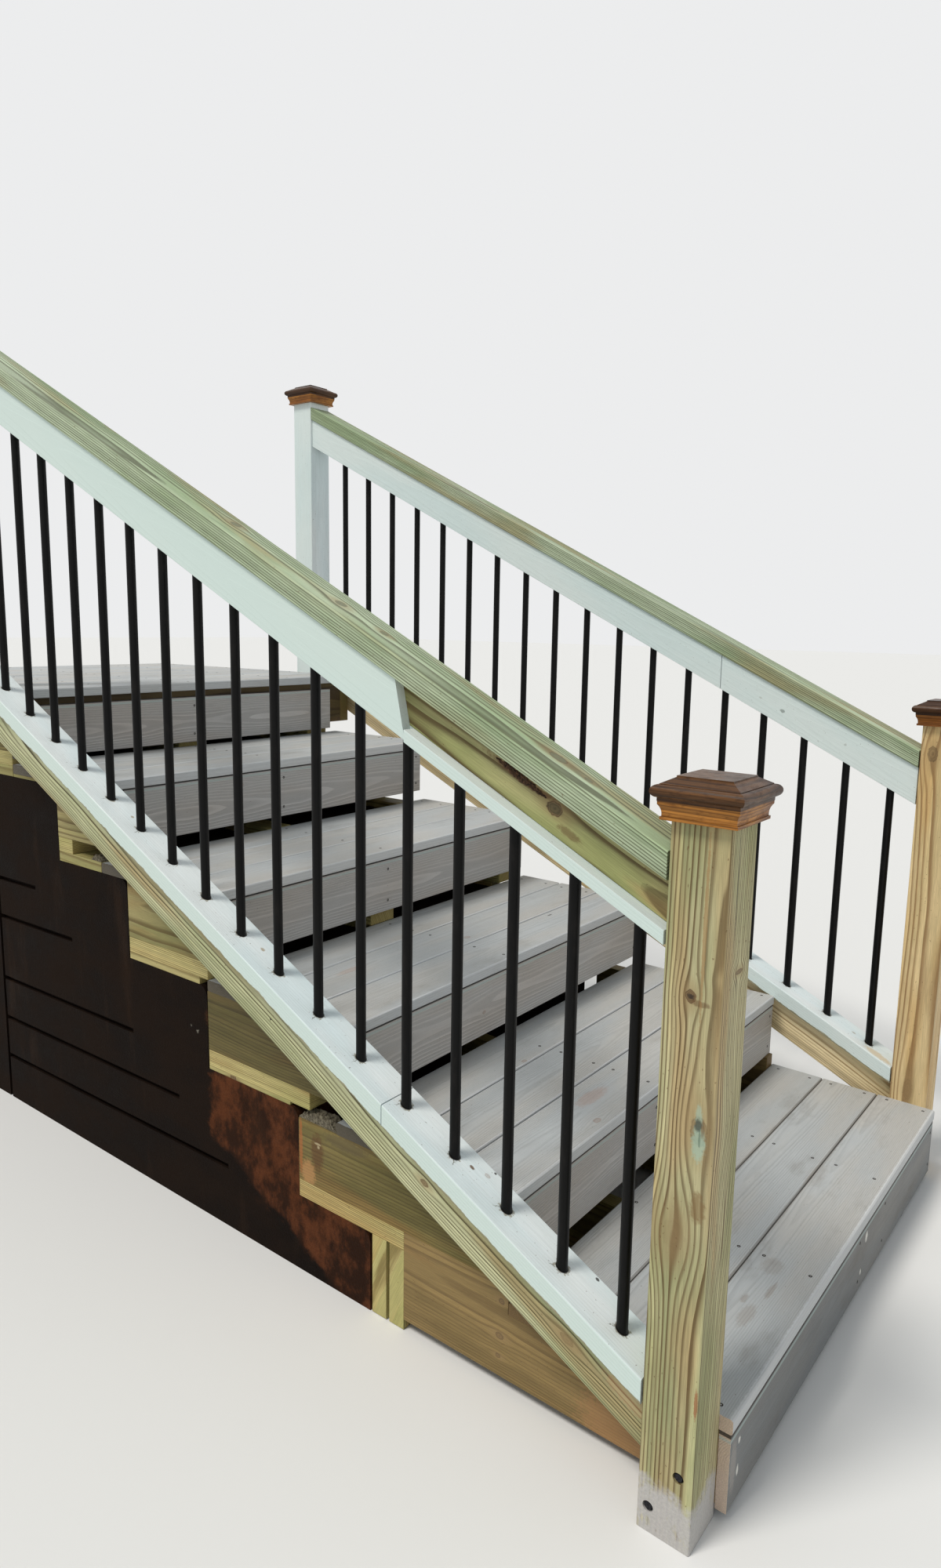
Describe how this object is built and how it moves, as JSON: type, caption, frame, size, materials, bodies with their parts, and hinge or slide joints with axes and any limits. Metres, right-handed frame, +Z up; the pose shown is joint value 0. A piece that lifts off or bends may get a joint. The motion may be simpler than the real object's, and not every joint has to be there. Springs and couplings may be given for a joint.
{
  "type": "outdoor wooden stair with landing",
  "caption": "Straight timber deck stair over an old masonry stair, with a low platform, a landing and railings with black balusters.",
  "frame": {"origin": "on the ground, in the middle of the stair's length and width", "axes": "+Z up, +Y up the stair towards the landing, +X to the right of someone going up"},
  "size_m": [1.482, 3.2078, 2.2128],
  "materials": {
    "pine": "bare treated pine",
    "grey_paint": "worn grey deck paint",
    "white_paint": "white paint",
    "light_stain": "orange-brown stain",
    "dark_stain": "dark brown stain",
    "black_metal": "satin black",
    "masonry": "dark, worn"
  },
  "bodies": {
    "root": {"concrete_steps": "masonry", "studs": "pine", "skirt_boards": "pine", "platform_rims": "pine", "platform_joists": "pine", "platform_fascia": "grey_paint", "platform_deck": "grey_paint", "plates": "pine", "packing_strips": "pine", "rim_boards": "pine", "step_joists_1": "pine", "step_joists_2": "pine", "step_joists_3": "pine", "step_joists_4": "pine", "landing_joists": "pine", "riser_1": "grey_paint", "riser_2": "grey_paint", "riser_3": "grey_paint", "riser_4": "grey_paint", "riser_5": "grey_paint", "tread_1": "grey_paint", "tread_2": "grey_paint", "tread_3": "grey_paint", "tread_4": "grey_paint", "landing_deck": "grey_paint", "newel_low_near": "pine", "newel_low_far": "pine", "newel_top_near": "white_paint", "newel_top_far": "white_paint", "cap_mouldings": "light_stain", "cap_tops": "dark_stain", "bottom_rail_near": "white_paint", "bottom_rail_far": "white_paint", "under_rail_near": "pine", "under_rail_far": "pine", "hand_rail_near": "pine", "hand_rail_far": "pine", "top_rail_near": "pine", "top_rail_far": "pine", "top_strip_near": "white_paint", "top_strip_far": "white_paint", "face_boards_near": "white_paint", "face_boards_far": "white_paint", "balusters_near": "black_metal", "balusters_far": "black_metal"}
  },
  "joints": []
}
